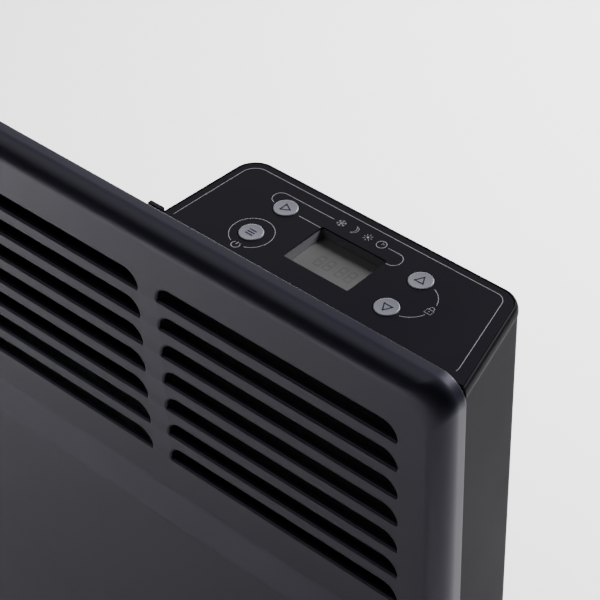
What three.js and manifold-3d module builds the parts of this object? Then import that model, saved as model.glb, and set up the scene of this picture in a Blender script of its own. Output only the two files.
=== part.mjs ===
// Electric panel convector heater: a pressed steel front panel with louvres, a folded rear casing,
// a plastic control housing behind the top right corner, a finned heating element and two floor feet.
// Millimetres. +X is to the right, +Y to the back, +Z up. The origin is on the floor under the middle.
import * as THREE from 'three';
import { mergeVertices } from 'three/addons/utils/BufferGeometryUtils.js';
import Module from 'manifold-3d';

const wasm = await Module();
wasm.setup();

// ---- driving dimensions -------------------------------------------------------------------------
const WIDTH = 640;             // front panel
const PANEL_BOTTOM = 40;
const PANEL_TOP = 440;
const SHEET = 1.0;             // pressed steel of the panel
const FACE_Y = -37.9;          // louvred face
const FLANGE_Y = -23.6;        // back edge of the panel's turned-back flange
const FLANGE_DEPTH = 4.3;      // flat part of the flange, before the rounding starts
const ROUNDING = 10;           // how far the rounded border reaches in over the face
const OUTER_CORNER = 13;
const FACE_CORNER = 17;
const BACK_Y = 37.9;           // back of the casing and of the control housing
const GAP = 0.3;               // clearance between neighbouring pieces

const SLOT_ROWS = 7;
const SLOT_GROUPS = 4;
const SLOT_LENGTH = 138.5;
const SLOT_HEIGHT = 8.5;
const SLOT_PITCH = 16.3;
const SLOT_GROUP_GAP = 12.3;
const FIRST_SLOT_TOP = 410.4;
const SLOT_RIM = 3;            // depth of the rolled rim inside the panel

const FIELD_TOP = 285;         // upper edge of the raised lower field
const FIELD_BEVEL = 20.6;
const FIELD_STEP = 5.1;
const FIELD_MARGIN = 19;       // from the panel's outline to the field's sides and lower edge
const FIELD_SIDE_BEVEL = 6;
const FIELD_CORNER = 10;

const CASING_SHEET = 0.8;
const CASING_BOTTOM = 44.3;
const CASING_FRONT_Y = -28.4;
const SIDE_TAPER = 17.6;       // how much narrower each side is at the back than at the front
const HOOD_LOW = 352;          // where the back wall turns into the sloping hood
const HOOD_HIGH = 437;

const BOX_TOP = 434.3;         // control surface
const BOX_BOTTOM = 244;
const BOX_LEFT_FRONT = 143.6;
const BOX_LEFT_BACK = 147.2;
const BOX_RIGHT_FRONT = 318.6;
const BOX_RIGHT_BACK = 301.3;
const BOX_FRONT_Y = -23.3;
const BOX_CORNER = 12;
const BOX_FRONT_CORNER = 1.2;
const BOX_WALL = 2;
const CAP_HEIGHT = 5;          // top cap of the control housing
const RIM_WIDTH = 1.5;
const LABEL_THICK = 0.8;
const NOTCH_X = 132.3;         // left limit of the bay that the control housing stands in

const BUTTON_RADIUS = 5.72;
const BUTTON_X = [184.6, 261.6];
const BUTTON_Y = [-4.2, 18.1];
const BUTTON_TRAVEL = 0.8;
const LCD = { x0: 205.6, x1: 242.4, y0: -6.9, y1: 18.9, depth: 5 };

const SWITCH_TOP = BOX_TOP - 8.5;
const BOARD_TOP = SWITCH_TOP - 3.6;
const BOARD_FIXINGS = [[156, -14], [156, 24], [288, -14], [288, 24]];
const POWER_BOARD_Y = 10;
const POWER_BOARD_FIXINGS = [[164, 268], [282, 268], [164, 370], [282, 370]];
const EAR_LEFT = 134.8;        // screw flange on the housing's left side
const EAR_SCREW_X = 139;
const EAR_SCREW_Z = [280, 380];
const GLAND = { x: 268, z: 262 };
const WIRE_PASS = { x: 285, y: 0 };
const PANEL_SCREW_X = [-290, 0, 290];
const PANEL_SCREW_Y = -25.8;
const PANEL_SCREW_HOLE = 1.9;  // radius
const EAR_SCREW_HOLE = 1.8;    // radius
const INTAKE_HALF = 204;

const ELEMENT_Z = 128;
const ELEMENT_Y = 0;
const ELEMENT_HALF = 272;
const FOOT_X = 245;
const FOOT_HALF_LENGTH = 95;
const FOOT_BOLT_Y = 4;
const FOOT_BOLT_SEAT = 32;

// ---- materials ----------------------------------------------------------------------------------
const finish = (color, roughness, metalness = 0) =>
  new THREE.MeshStandardMaterial({ color, roughness, metalness });

const FINISH = {
  panelPaint: finish(0x2e2f34, 0.45, 0.2),
  casingPaint: finish(0x26272b, 0.55, 0.2),
  plastic: finish(0x2f2e33, 0.5),
  gloss: finish(0x141318, 0.25),
  grey: finish(0x8a8a94, 0.5),
  metal: finish(0xb8babd, 0.35, 0.9),
  rubber: finish(0x17171a, 0.85),
  board: finish(0x2f6a43, 0.5),
  pale: finish(0xd8d3c6, 0.7),
};

// ---- outlines -----------------------------------------------------------------------------------
// A closed outline from [x, y, corner radius] points, anticlockwise, with each corner as an arc.
function roundedOutline(corners, steps = 4) {
  const out = [];
  corners.forEach(([x, y, radius], i) => {
    const at = new THREE.Vector2(x, y);
    if (!radius) {
      out.push(at);
      return;
    }
    const before = corners[(i + corners.length - 1) % corners.length];
    const after = corners[(i + 1) % corners.length];
    const u = new THREE.Vector2(before[0] - x, before[1] - y).normalize();
    const v = new THREE.Vector2(after[0] - x, after[1] - y).normalize();
    const half = Math.acos(THREE.MathUtils.clamp(u.dot(v), -1, 1)) / 2;
    const centre = u.clone().add(v).normalize().multiplyScalar(radius / Math.sin(half)).add(at);
    const start = u.clone().multiplyScalar(radius / Math.tan(half)).add(at).sub(centre);
    const sweep = Math.PI - 2 * half;
    for (let k = 0; k <= steps; k += 1) {
      const turned = start.clone().rotateAround(new THREE.Vector2(), (sweep * k) / steps);
      out.push(turned.add(centre));
    }
  });
  return out;
}

const rectangle = (x0, x1, y0, y1, radius = 0, steps = 3) =>
  roundedOutline([[x0, y0, radius], [x1, y0, radius], [x1, y1, radius], [x0, y1, radius]], steps);

function circle(radius, x = 0, y = 0, steps = 16) {
  return Array.from({ length: steps }, (_, k) => {
    const a = (2 * Math.PI * k) / steps;
    return new THREE.Vector2(x + radius * Math.cos(a), y + radius * Math.sin(a));
  });
}

// ---- solids from outlines -----------------------------------------------------------------------
function extrude(outline, depth) {
  return new THREE.ExtrudeGeometry(new THREE.Shape(outline), { depth, bevelEnabled: false });
}

const prismZ = (outline, z0, z1) => extrude(outline, z1 - z0).translate(0, 0, z0);

// The outline's (x, y) become (x, z).
const prismY = (outline, y0, y1) => extrude(outline, y1 - y0).rotateX(Math.PI / 2).translate(0, y1, 0);

// The outline's (x, y) become (y, z).
function prismX(outline, x0, x1) {
  const axes = new THREE.Matrix4().makeBasis(
    new THREE.Vector3(0, 1, 0),
    new THREE.Vector3(0, 0, 1),
    new THREE.Vector3(1, 0, 0),
  );
  return extrude(outline, x1 - x0).applyMatrix4(axes).translate(x0, 0, 0);
}

const rodZ = (radius, x, y, z0, z1, sides = 12) => prismZ(circle(radius, x, y, sides), z0, z1);
const rodY = (radius, x, z, y0, y1, sides = 12) => prismY(circle(radius, x, z, sides), y0, y1);
const rodX = (radius, y, z, x0, x1, sides = 12) => prismX(circle(radius, y, z, sides), x0, x1);

function slab(x0, x1, y0, y1, z0, z1) {
  const box = new THREE.BoxGeometry(x1 - x0, y1 - y0, z1 - z0);
  return box.translate((x0 + x1) / 2, (y0 + y1) / 2, (z0 + z1) / 2);
}

// A skin through rings of equal point count, closed by a fan at each end; the rings are convex.
function loft(rings) {
  const count = rings[0].length;
  const last = (rings.length - 1) * count;
  const index = [];
  for (let r = 0; r + 1 < rings.length; r += 1) {
    for (let k = 0; k < count; k += 1) {
      const a = r * count + k;
      const b = r * count + ((k + 1) % count);
      index.push(a, b, b + count, a, b + count, a + count);
    }
  }
  for (let k = 1; k + 1 < count; k += 1) {
    index.push(0, k + 1, k);
    index.push(last, last + k, last + k + 1);
  }
  const geometry = new THREE.BufferGeometry();
  geometry.setFromPoints(rings.flat());
  geometry.setIndex(index);
  return geometry;
}

function tube(points, radius, sides, steps) {
  const path = new THREE.CatmullRomCurve3(points.map((p) => new THREE.Vector3(...p)));
  const section = new THREE.Shape(circle(radius, 0, 0, sides));
  return new THREE.ExtrudeGeometry(section, { steps, bevelEnabled: false, extrudePath: path });
}

// ---- joining and cutting ------------------------------------------------------------------------
function toSolid(geometry) {
  const bare = geometry.clone();
  bare.deleteAttribute('normal');
  bare.deleteAttribute('uv');
  const merged = mergeVertices(bare, 1e-4);
  return new wasm.Manifold(new wasm.Mesh({
    numProp: 3,
    vertProperties: new Float32Array(merged.attributes.position.array),
    triVerts: new Uint32Array(merged.index.array),
  }));
}

function toGeometry(solid) {
  const mesh = solid.getMesh();
  const geometry = new THREE.BufferGeometry();
  geometry.setAttribute('position', new THREE.BufferAttribute(mesh.vertProperties, 3));
  geometry.setIndex(new THREE.BufferAttribute(mesh.triVerts, 1));
  return geometry;
}

const joined = (parts) => parts.map(toSolid).reduce((a, b) => a.add(b));
const join = (...parts) => toGeometry(joined(parts));
const cut = (body, ...tools) => toGeometry(joined([body]).subtract(joined(tools)));
const keep = (body, zone) => toGeometry(toSolid(body).intersect(toSolid(zone)));

// ---- the model ----------------------------------------------------------------------------------
const heater = new THREE.Group();

function add(name, geometry, material) {
  const mesh = new THREE.Mesh(geometry, material);
  mesh.name = name;
  heater.add(mesh);
}

// ---- front panel --------------------------------------------------------------------------------
function panelRing(inset, y, cornerRadius) {
  const half = WIDTH / 2 - inset;
  const outline = rectangle(-half, half, PANEL_BOTTOM + inset, PANEL_TOP - inset, cornerRadius, 5);
  return outline.map((p) => new THREE.Vector3(p.x, y, p.y));
}

// The tray's skin, offset inwards by a thickness: a flat flange, then an elliptical rounding.
function trayBody(offset, backY) {
  const start = FLANGE_Y - FLANGE_DEPTH;
  const rings = [panelRing(offset, backY, OUTER_CORNER - offset)];
  const steps = 5;
  for (let k = 0; k <= steps; k += 1) {
    const angle = (Math.PI / 2) * (k / steps);
    const inset = ROUNDING * (1 - Math.cos(angle));
    const corner = OUTER_CORNER + (FACE_CORNER - OUTER_CORNER) * (1 - Math.cos(angle));
    const y = start + (FACE_Y - start) * Math.sin(angle);
    rings.push(panelRing(inset + offset, y + offset, corner - offset));
  }
  return loft(rings);
}

// The raised lower field, with a long bevel along its top and short ones on its other sides.
function lowerField(offset) {
  const ring = (grow, top, y) => {
    const inset = FIELD_MARGIN + grow + offset;
    const half = WIDTH / 2 - inset;
    const outline = rectangle(-half, half, PANEL_BOTTOM + inset, top - offset, FIELD_CORNER, 3);
    return outline.map((p) => new THREE.Vector3(p.x, y + offset, p.y));
  };
  const embed = 0.4;
  return loft([
    ring(0, FIELD_TOP, FACE_Y + embed),
    ring(0, FIELD_TOP, FACE_Y),
    ring(FIELD_SIDE_BEVEL, FIELD_TOP - FIELD_BEVEL, FACE_Y - FIELD_STEP),
  ]);
}

// A louvre slot: quarter-round upper corners that run down to nearly sharp lower ones.
function slotOutline(left, top, grow) {
  const upper = SLOT_HEIGHT - 0.6 + grow;
  const lower = 0.4 + grow;
  const right = left + SLOT_LENGTH;
  const bottom = top - SLOT_HEIGHT;
  return roundedOutline([
    [left - grow, bottom - grow, lower],
    [right + grow, bottom - grow, lower],
    [right + grow, top + grow, upper],
    [left - grow, top + grow, upper],
  ], 3);
}

function slotOrigins() {
  const span = SLOT_GROUPS * SLOT_LENGTH + (SLOT_GROUPS - 1) * SLOT_GROUP_GAP;
  const origins = [];
  for (let g = 0; g < SLOT_GROUPS; g += 1) {
    for (let row = 0; row < SLOT_ROWS; row += 1) {
      const left = -span / 2 + g * (SLOT_LENGTH + SLOT_GROUP_GAP);
      origins.push([left, FIRST_SLOT_TOP - row * SLOT_PITCH]);
    }
  }
  return origins;
}

function frontPanel() {
  const outside = joined([trayBody(0, FLANGE_Y), lowerField(0)]);
  const inside = joined([trayBody(SHEET, FLANGE_Y + SHEET), lowerField(SHEET)]);
  const rims = [];
  const holes = [];
  slotOrigins().forEach(([left, top]) => {
    rims.push(prismY(slotOutline(left, top, SHEET), FACE_Y + SHEET / 2, FACE_Y + SLOT_RIM));
    holes.push(prismY(slotOutline(left, top, 0), FACE_Y - 2, FACE_Y + SLOT_RIM + 1));
  });
  PANEL_SCREW_X.forEach((x) => {
    holes.push(rodZ(PANEL_SCREW_HOLE, x, PANEL_SCREW_Y, PANEL_BOTTOM - 5, PANEL_BOTTOM + 5, 8));
  });
  return toGeometry(outside.subtract(inside).add(joined(rims)).subtract(joined(holes)));
}

// ---- casing -------------------------------------------------------------------------------------
// The volume inside the casing, shrunk by one amount at the sides and another all round.
function casingVolume(side, round, front) {
  const profile = [
    [front, CASING_BOTTOM + round],
    [BACK_Y - round, CASING_BOTTOM + round],
    [BACK_Y - round, HOOD_LOW - 0.7 * round],
    [FLANGE_Y, HOOD_HIGH - 1.2 * round],
    [front, HOOD_HIGH - 1.2 * round],
  ].map(([y, z]) => new THREE.Vector2(y, z));
  const halfFront = WIDTH / 2 - SHEET - GAP - side;
  const halfBack = halfFront - SIDE_TAPER;
  const plan = [
    [-halfFront, front - 1], [halfFront, front - 1], [halfFront, FLANGE_Y],
    [halfBack, BACK_Y], [-halfBack, BACK_Y], [-halfFront, FLANGE_Y],
  ].map(([x, y]) => new THREE.Vector2(x, y));
  const length = prismX(profile, -WIDTH / 2, WIDTH / 2);
  const sides = prismZ(plan, 0, PANEL_TOP);
  const edge = SHEET + GAP;
  const low = PANEL_BOTTOM + edge + round;
  const high = PANEL_TOP - edge - round;
  const corners = rectangle(-halfFront, halfFront, low, high, OUTER_CORNER - edge, 5);
  return keep(keep(length, sides), prismY(corners, -100, 100));
}

const bayCutter = () => slab(NOTCH_X, WIDTH, -100, 100, BOX_BOTTOM - 2, PANEL_TOP + 10);

function rearCasing() {
  const inset = CASING_SHEET + GAP;
  const outside = casingVolume(inset, 0, CASING_FRONT_Y);
  const inside = casingVolume(-WIDTH / 8, CASING_SHEET, CASING_FRONT_Y - 5);
  const hooks = [-230, 95].map((x) => slab(x - 15, x + 15, BACK_Y - 5, BACK_Y + 5, 322, 329));
  const lower = [-230, 230].map((x) => slab(x - 15, x + 15, BACK_Y - 5, BACK_Y + 5, 70, 77));
  const intake = slab(-INTAKE_HALF, INTAKE_HALF, -17, 27, CASING_BOTTOM - 5, CASING_BOTTOM + 5);
  const bolts = [-FOOT_X, FOOT_X].map((x) => rodZ(2.8, x, FOOT_BOLT_Y, 30, 60, 10));
  const screws = PANEL_SCREW_X.map((x) => rodZ(PANEL_SCREW_HOLE, x, PANEL_SCREW_Y, 30, 60, 8));
  return cut(outside, inside, bayCutter(), intake, ...hooks, ...lower, ...bolts, ...screws);
}

function sideCheek(sign) {
  const outside = casingVolume(0, CASING_SHEET + GAP, CASING_FRONT_Y);
  const inside = casingVolume(CASING_SHEET, 0, CASING_FRONT_Y - 5);
  const half = slab(sign > 0 ? 0 : -WIDTH, sign > 0 ? WIDTH : 0, -100, 100, 0, 500);
  const shell = keep(cut(outside, inside), half);
  return sign > 0 ? cut(shell, bayCutter()) : shell;
}

// Intake grille: one flat plate with a row of slots, under the element.
function bottomGrille() {
  const half = INTAKE_HALF - GAP;
  const plate = slab(-half, half, -17 + GAP, 27 - GAP, CASING_BOTTOM, CASING_BOTTOM + CASING_SHEET);
  const slots = [];
  for (let k = 0; k < 16; k += 1) {
    const x = -187.5 + 25 * k;
    slots.push(slab(x - 8, x + 8, -11, 21, CASING_BOTTOM - 1, CASING_BOTTOM + 2));
  }
  return cut(plate, ...slots);
}

// Folded sheet that closes the casing around the control housing: wall, floor and screw flange.
function controlBay() {
  const x = NOTCH_X + GAP;
  const wallProfile = [
    [FLANGE_Y, BOX_BOTTOM - 1.7],
    [BACK_Y - GAP, BOX_BOTTOM - 1.7],
    [BACK_Y - GAP, HOOD_LOW],
    [FLANGE_Y + 2, HOOD_HIGH - 4],
    [FLANGE_Y, HOOD_HIGH - 4],
  ].map(([y, z]) => new THREE.Vector2(y, z));
  const wall = prismX(wallProfile, x, x + CASING_SHEET);
  const floorPlan = [[x, FLANGE_Y], [314, FLANGE_Y], [299, BACK_Y - GAP], [x, BACK_Y - GAP]]
    .map(([u, v]) => new THREE.Vector2(u, v));
  const floor = prismZ(floorPlan, BOX_BOTTOM - 1.7, BOX_BOTTOM - 0.9);
  const flange = slab(x, x + 11, -15.4, -14.6, BOX_BOTTOM - 1.7, 416);
  const wireHole = rodZ(7, WIRE_PASS.x, WIRE_PASS.y, BOX_BOTTOM - 5, BOX_BOTTOM + 2, 16);
  const earHoles = EAR_SCREW_Z.map((z) => rodY(EAR_SCREW_HOLE, EAR_SCREW_X, z, -20, -10, 8));
  return cut(join(wall, floor, flange), wireHole, ...earHoles);
}

// ---- control housing ----------------------------------------------------------------------------
// Plan of the housing, shrunk by an inset; the corner radius follows it.
function boxPlan(inset, steps = 5) {
  const taper = (BOX_RIGHT_FRONT - BOX_RIGHT_BACK) / (BACK_Y - BOX_FRONT_Y);
  const back = BACK_Y - inset;
  const front = BOX_FRONT_Y + inset;
  const corner = Math.max(BOX_CORNER - inset, 1);
  const frontCorner = Math.max(BOX_FRONT_CORNER - inset, 0.8);
  const right = (y) => BOX_RIGHT_FRONT - taper * (y - BOX_FRONT_Y) - inset * 1.04;
  return roundedOutline([
    [BOX_LEFT_FRONT + inset, front, frontCorner],
    [right(front), front, frontCorner],
    [right(back), back, corner],
    [BOX_LEFT_BACK + inset, back, corner],
  ], steps);
}

const CAP_SPLIT = BOX_TOP - CAP_HEIGHT;

function controlHousing() {
  const walls = cut(
    prismZ(boxPlan(0), BOX_BOTTOM, CAP_SPLIT - GAP),
    prismZ(boxPlan(BOX_WALL), BOX_BOTTOM - 1, CAP_SPLIT + 1),
  );
  const bosses = POWER_BOARD_FIXINGS.flatMap(([x, z]) => [
    rodY(3.2, x, z, POWER_BOARD_Y + 1.6 + GAP, BACK_Y - 1, 10),
    rodY(1.3, x, z, POWER_BOARD_Y - 2, POWER_BOARD_Y + 3, 8),
  ]);
  const ear = slab(EAR_LEFT, BOX_LEFT_FRONT + 1.5, -17.9, -16, BOX_BOTTOM, CAP_SPLIT - GAP);
  const earTop = slab(EAR_LEFT, BOX_LEFT_FRONT - GAP, -17.9, -16, CAP_SPLIT - 2, BOX_TOP);
  const earHoles = EAR_SCREW_Z.map((z) => rodY(EAR_SCREW_HOLE, EAR_SCREW_X, z, -20, -12, 8));
  const gland = rodY(7, GLAND.x, GLAND.z, BACK_Y - 5, BACK_Y + 5, 16);
  const vents = [];
  for (let k = 0; k < 6; k += 1) {
    const z = BOX_BOTTOM + 18 + 7 * k;
    vents.push(slab(190, 258, BACK_Y - 5, BACK_Y + 5, z, z + 3));
  }
  return cut(join(walls, ear, earTop, ...bosses), ...earHoles, gland, ...vents);
}

const buttonSpots = () => BUTTON_X.flatMap((x) => BUTTON_Y.map((y) => [x, y]));
const buttonHoles = () => buttonSpots().map(([x, y]) => rodZ(BUTTON_RADIUS + 0.35, x, y, 400, 450, 20));

// Top cap: a rim round a recess for the label, with holes for the buttons and the display.
function controlCap() {
  const floor = BOX_TOP - LABEL_THICK - 0.2;
  const solid = prismZ(boxPlan(0), CAP_SPLIT, BOX_TOP);
  const recess = prismZ(boxPlan(RIM_WIDTH), floor, BOX_TOP + 1);
  const under = prismZ(boxPlan(BOX_WALL), CAP_SPLIT - 1, floor - 2);
  const display = slab(LCD.x0 - 1, LCD.x1 + 1, LCD.y0 - 1, LCD.y1 + 1, 400, 450);
  const posts = BOARD_FIXINGS.flatMap(([x, y]) => [
    rodZ(3.2, x, y, BOARD_TOP + GAP, floor - 1, 10),
    rodZ(1.3, x, y, BOARD_TOP - 3.5, BOARD_TOP + 1, 8),
  ]);
  return join(cut(solid, recess, under, display, ...buttonHoles()), ...posts);
}

function fasciaLabel() {
  const bottom = BOX_TOP - LABEL_THICK + 0.1;
  const plate = prismZ(boxPlan(RIM_WIDTH + 0.5), bottom, BOX_TOP - 0.1);
  return cut(plate, slab(LCD.x0, LCD.x1, LCD.y0, LCD.y1, 400, 450), ...buttonHoles());
}

// Window frame that hangs below the label and carries the display glass.
function lcdFrame() {
  const top = BOX_TOP - LABEL_THICK - 0.2;
  const outer = slab(LCD.x0 - 0.7, LCD.x1 + 0.7, LCD.y0 - 0.7, LCD.y1 + 0.7, top - 8, top);
  const well = slab(LCD.x0 + 0.3, LCD.x1 - 0.3, LCD.y0 + 0.3, LCD.y1 - 0.3, top - 9, top + 1);
  return cut(outer, well);
}

const lcdBlock = (z0, z1) => slab(LCD.x0 + 0.6, LCD.x1 - 0.6, LCD.y0 + 0.6, LCD.y1 - 0.6, z0, z1);

// Push button: a round cap, a retaining collar below the cap plate and a plunger.
function pushButton(x, y) {
  const profile = [
    [0, SWITCH_TOP + BUTTON_TRAVEL + GAP],
    [2, SWITCH_TOP + BUTTON_TRAVEL + GAP],
    [2, BOX_TOP - 4.6],
    [BUTTON_RADIUS + 1.2, BOX_TOP - 4.6],
    [BUTTON_RADIUS + 1.2, BOX_TOP - 3.4],
    [BUTTON_RADIUS, BOX_TOP - 3.4],
    [BUTTON_RADIUS, BOX_TOP],
    [BUTTON_RADIUS - 0.4, BOX_TOP + 0.3],
    [0, BOX_TOP + 0.3],
  ].map(([r, z]) => new THREE.Vector2(r, z));
  const turned = new THREE.LatheGeometry([...profile], 20).rotateX(Math.PI / 2);
  return toGeometry(toSolid(turned.translate(x, y, 0)));
}

function tactSwitch(x, y) {
  const base = SWITCH_TOP - 3.3;
  return join(
    slab(x - 3, x + 3, y - 3, y + 3, base, SWITCH_TOP - 0.6),
    rodZ(1.6, x, y, SWITCH_TOP - 0.8, SWITCH_TOP, 10),
  );
}

function controlBoard() {
  const plate = slab(152, 292, -18, 28, BOARD_TOP - 1.6, BOARD_TOP);
  return cut(plate, ...BOARD_FIXINGS.map(([x, y]) => rodZ(1.6, x, y, 400, 450, 8)));
}

function housingBase() {
  const plate = prismZ(boxPlan(BOX_WALL + GAP), BOX_BOTTOM, BOX_BOTTOM + 2.5);
  return cut(plate, rodZ(7, WIRE_PASS.x, WIRE_PASS.y, BOX_BOTTOM - 5, BOX_BOTTOM + 5, 16));
}

function powerBoard() {
  const plate = slab(158, 288, POWER_BOARD_Y, POWER_BOARD_Y + 1.6, 262, 376);
  return cut(plate, ...POWER_BOARD_FIXINGS.map(([x, z]) => rodY(1.6, x, z, 0, 30, 8)));
}

// Parts soldered to the front of the power board stand a depth forward of it.
function onPowerBoard(x0, x1, depth, z0, z1) {
  return slab(x0, x1, POWER_BOARD_Y - GAP - depth, POWER_BOARD_Y - GAP, z0, z1);
}

function triacHeatsink() {
  const fins = [0, 1, 2, 3, 4].map((k) => onPowerBoard(228 + 6 * k, 229.6 + 6 * k, 20, 320, 352));
  return join(onPowerBoard(228, 253.6, 3, 320, 352), ...fins);
}

function terminalBlock() {
  const ways = [0, 1, 2, 3, 4].map((k) => rodZ(2, 251 + 7 * k, 3.5, 285, 292, 8));
  return cut(onPowerBoard(246, 284, 13, 274, 290), ...ways);
}

// ---- screws -------------------------------------------------------------------------------------
// A pan-head screw as a turned profile: head below, shank above, with a flat end.
function screw(shankRadius, headRadius, headHeight, length) {
  const profile = [
    [0, -headHeight], [headRadius * 0.75, -headHeight], [headRadius, -headHeight * 0.5],
    [headRadius, 0], [shankRadius, 0], [shankRadius, length], [0, length],
  ].map(([r, z]) => new THREE.Vector2(r, z));
  return new THREE.LatheGeometry(profile, 10).rotateX(Math.PI / 2);
}

// ---- heating element ----------------------------------------------------------------------------
// Extruded aluminium: a core with fins that spread into an X, and one straight up and down.
function elementFins() {
  const core = 8;
  const reach = [31, 33, 31, 31, 33, 31];
  const outline = [];
  [38, 90, 142, 218, 270, 322].forEach((degrees, i) => {
    const angle = THREE.MathUtils.degToRad(degrees);
    const along = new THREE.Vector2(Math.cos(angle), Math.sin(angle));
    const across = new THREE.Vector2(-along.y, along.x).multiplyScalar(0.9);
    const root = along.clone().multiplyScalar(core);
    const tip = along.clone().multiplyScalar(reach[i]);
    outline.push(root.clone().sub(across), tip.clone().sub(across));
    outline.push(tip.clone().add(across), root.clone().add(across));
  });
  outline.forEach((p) => p.add(new THREE.Vector2(ELEMENT_Y, ELEMENT_Z)));
  const body = prismX(outline, -ELEMENT_HALF, ELEMENT_HALF);
  return cut(body, rodX(4.3, ELEMENT_Y, ELEMENT_Z, -300, 300, 12));
}

function elementBracket(sign) {
  const x = (a, b) => [Math.min(sign * a, sign * b), Math.max(sign * a, sign * b)];
  const plate = slab(...x(278.8, 280), -16, BACK_Y - 1.2, ELEMENT_Z - 22, ELEMENT_Z + 22);
  const flange = slab(...x(266, 280), BACK_Y - 2.4, BACK_Y - 1.2, ELEMENT_Z - 22, ELEMENT_Z + 22);
  return cut(join(plate, flange), rodX(8, ELEMENT_Y, ELEMENT_Z, -290, 290, 14));
}

function ringX(outer, inner, x0, x1) {
  const body = rodX(outer, ELEMENT_Y, ELEMENT_Z, x0, x1, 14);
  return cut(body, rodX(inner, ELEMENT_Y, ELEMENT_Z, x0 - 1, x1 + 1, 12));
}

function elementTerminal(sign) {
  const x = (a, b) => [Math.min(sign * a, sign * b), Math.max(sign * a, sign * b)];
  return join(
    rodX(3.6, ELEMENT_Y, ELEMENT_Z, ...x(288.3, 293), 10),
    rodX(1.5, ELEMENT_Y, ELEMENT_Z, ...x(292.8, 298), 8),
  );
}

function thermalCutout() {
  const can = rodY(8, 230, 180, 21, 30.7, 14);
  const ears = slab(216, 244, 29.5, 30.7, 176, 184);
  const tabs = [226, 232].map((x) => slab(x, x + 2, 15, 22, 178, 182));
  return join(can, ears, ...tabs);
}

// ---- feet ---------------------------------------------------------------------------------------
function foot(sign) {
  const profile = roundedOutline([
    [-FOOT_HALF_LENGTH, 3, 1], [-66, 3, 2], [-58, 9, 4],
    [58, 9, 4], [66, 3, 2], [FOOT_HALF_LENGTH, 3, 1],
    [FOOT_HALF_LENGTH, 11, 5], [42, 22, 14], [26, 31, 5], [24, 44, 1], [-16, 44, 1], [-18, 31, 5],
    [-34, 22, 14], [-FOOT_HALF_LENGTH, 11, 5],
  ], 2);
  const x = sign * FOOT_X;
  const shankHole = rodZ(2.8, x, FOOT_BOLT_Y, 0, 60, 10);
  const headRecess = rodZ(6, x, FOOT_BOLT_Y, 0, FOOT_BOLT_SEAT, 12);
  return cut(prismX(profile, x - 17, x + 17), shankHole, headRecess);
}

function footPad(signX, signY) {
  const x = signX * FOOT_X;
  const y = signY * 80;
  return prismZ(rectangle(x - 14, x + 14, y - 13, y + 13, 4, 3), 0, 3 - GAP);
}

function footNutPlate(sign) {
  const x = sign * FOOT_X;
  const z = CASING_BOTTOM + CASING_SHEET + GAP;
  const plate = slab(x - 12, x + 12, -14, 24, z, z + 2.5);
  return cut(plate, rodZ(2.8, x, FOOT_BOLT_Y, 40, 60, 10));
}

// ---- assembly -----------------------------------------------------------------------------------
add('front_panel', frontPanel(), FINISH.panelPaint);
add('rear_casing', rearCasing(), FINISH.casingPaint);
add('side_cheek_left', sideCheek(-1), FINISH.casingPaint);
add('side_cheek_right', sideCheek(1), FINISH.casingPaint);
add('bottom_grille', bottomGrille(), FINISH.casingPaint);
add('control_bay', controlBay(), FINISH.casingPaint);
add('heat_shield', slab(148, 312, -24.6, -24, 246, 418), FINISH.metal);
add('rear_shield', slab(-262, 262, 31, 31.6, 66, 236), FINISH.metal);

add('control_housing', controlHousing(), FINISH.plastic);
add('control_cap', controlCap(), FINISH.plastic);
add('housing_base', housingBase(), FINISH.plastic);
add('fascia_label', fasciaLabel(), FINISH.gloss);
add('lcd_frame', lcdFrame(), FINISH.plastic);
add('lcd_display', lcdBlock(BOX_TOP - LCD.depth - 1.4, BOX_TOP - LCD.depth), FINISH.grey);

const BUTTON_NAMES = ['menu', 'mode', 'down', 'up'];
buttonSpots().forEach(([x, y], i) => {
  add(`button_${BUTTON_NAMES[i]}`, pushButton(x, y), FINISH.grey);
  add(`switch_${BUTTON_NAMES[i]}`, tactSwitch(x, y), FINISH.plastic);
});

add('control_board', controlBoard(), FINISH.board);
add('power_board', powerBoard(), FINISH.board);
add('relay', onPowerBoard(166, 185, 15, 280, 296), FINISH.gloss);
add('transformer', onPowerBoard(166, 196, 24, 320, 346), FINISH.pale);
add('capacitor', rodY(6.5, 214, 302, -10, POWER_BOARD_Y - GAP, 14), FINISH.metal);
add('triac_heatsink', triacHeatsink(), FINISH.metal);
add('terminal_block', terminalBlock(), FINISH.pale);
add('ribbon_cable', slab(200, 224, 8.6, 9.4, 356, BOARD_TOP - 1.6 - GAP), FINISH.pale);
add('ntc_sensor', rodZ(2.5, 236, 26, 250, 266, 10), FINISH.gloss);
add('cable_gland', cut(
  join(
    rodY(6.7, GLAND.x, GLAND.z, BACK_Y - 6, BACK_Y + 2, 16),
    rodY(9, GLAND.x, GLAND.z, BACK_Y + GAP, BACK_Y + 3, 16),
  ),
  rodY(3.8, GLAND.x, GLAND.z, 20, 60, 14),
), FINISH.rubber);

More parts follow.
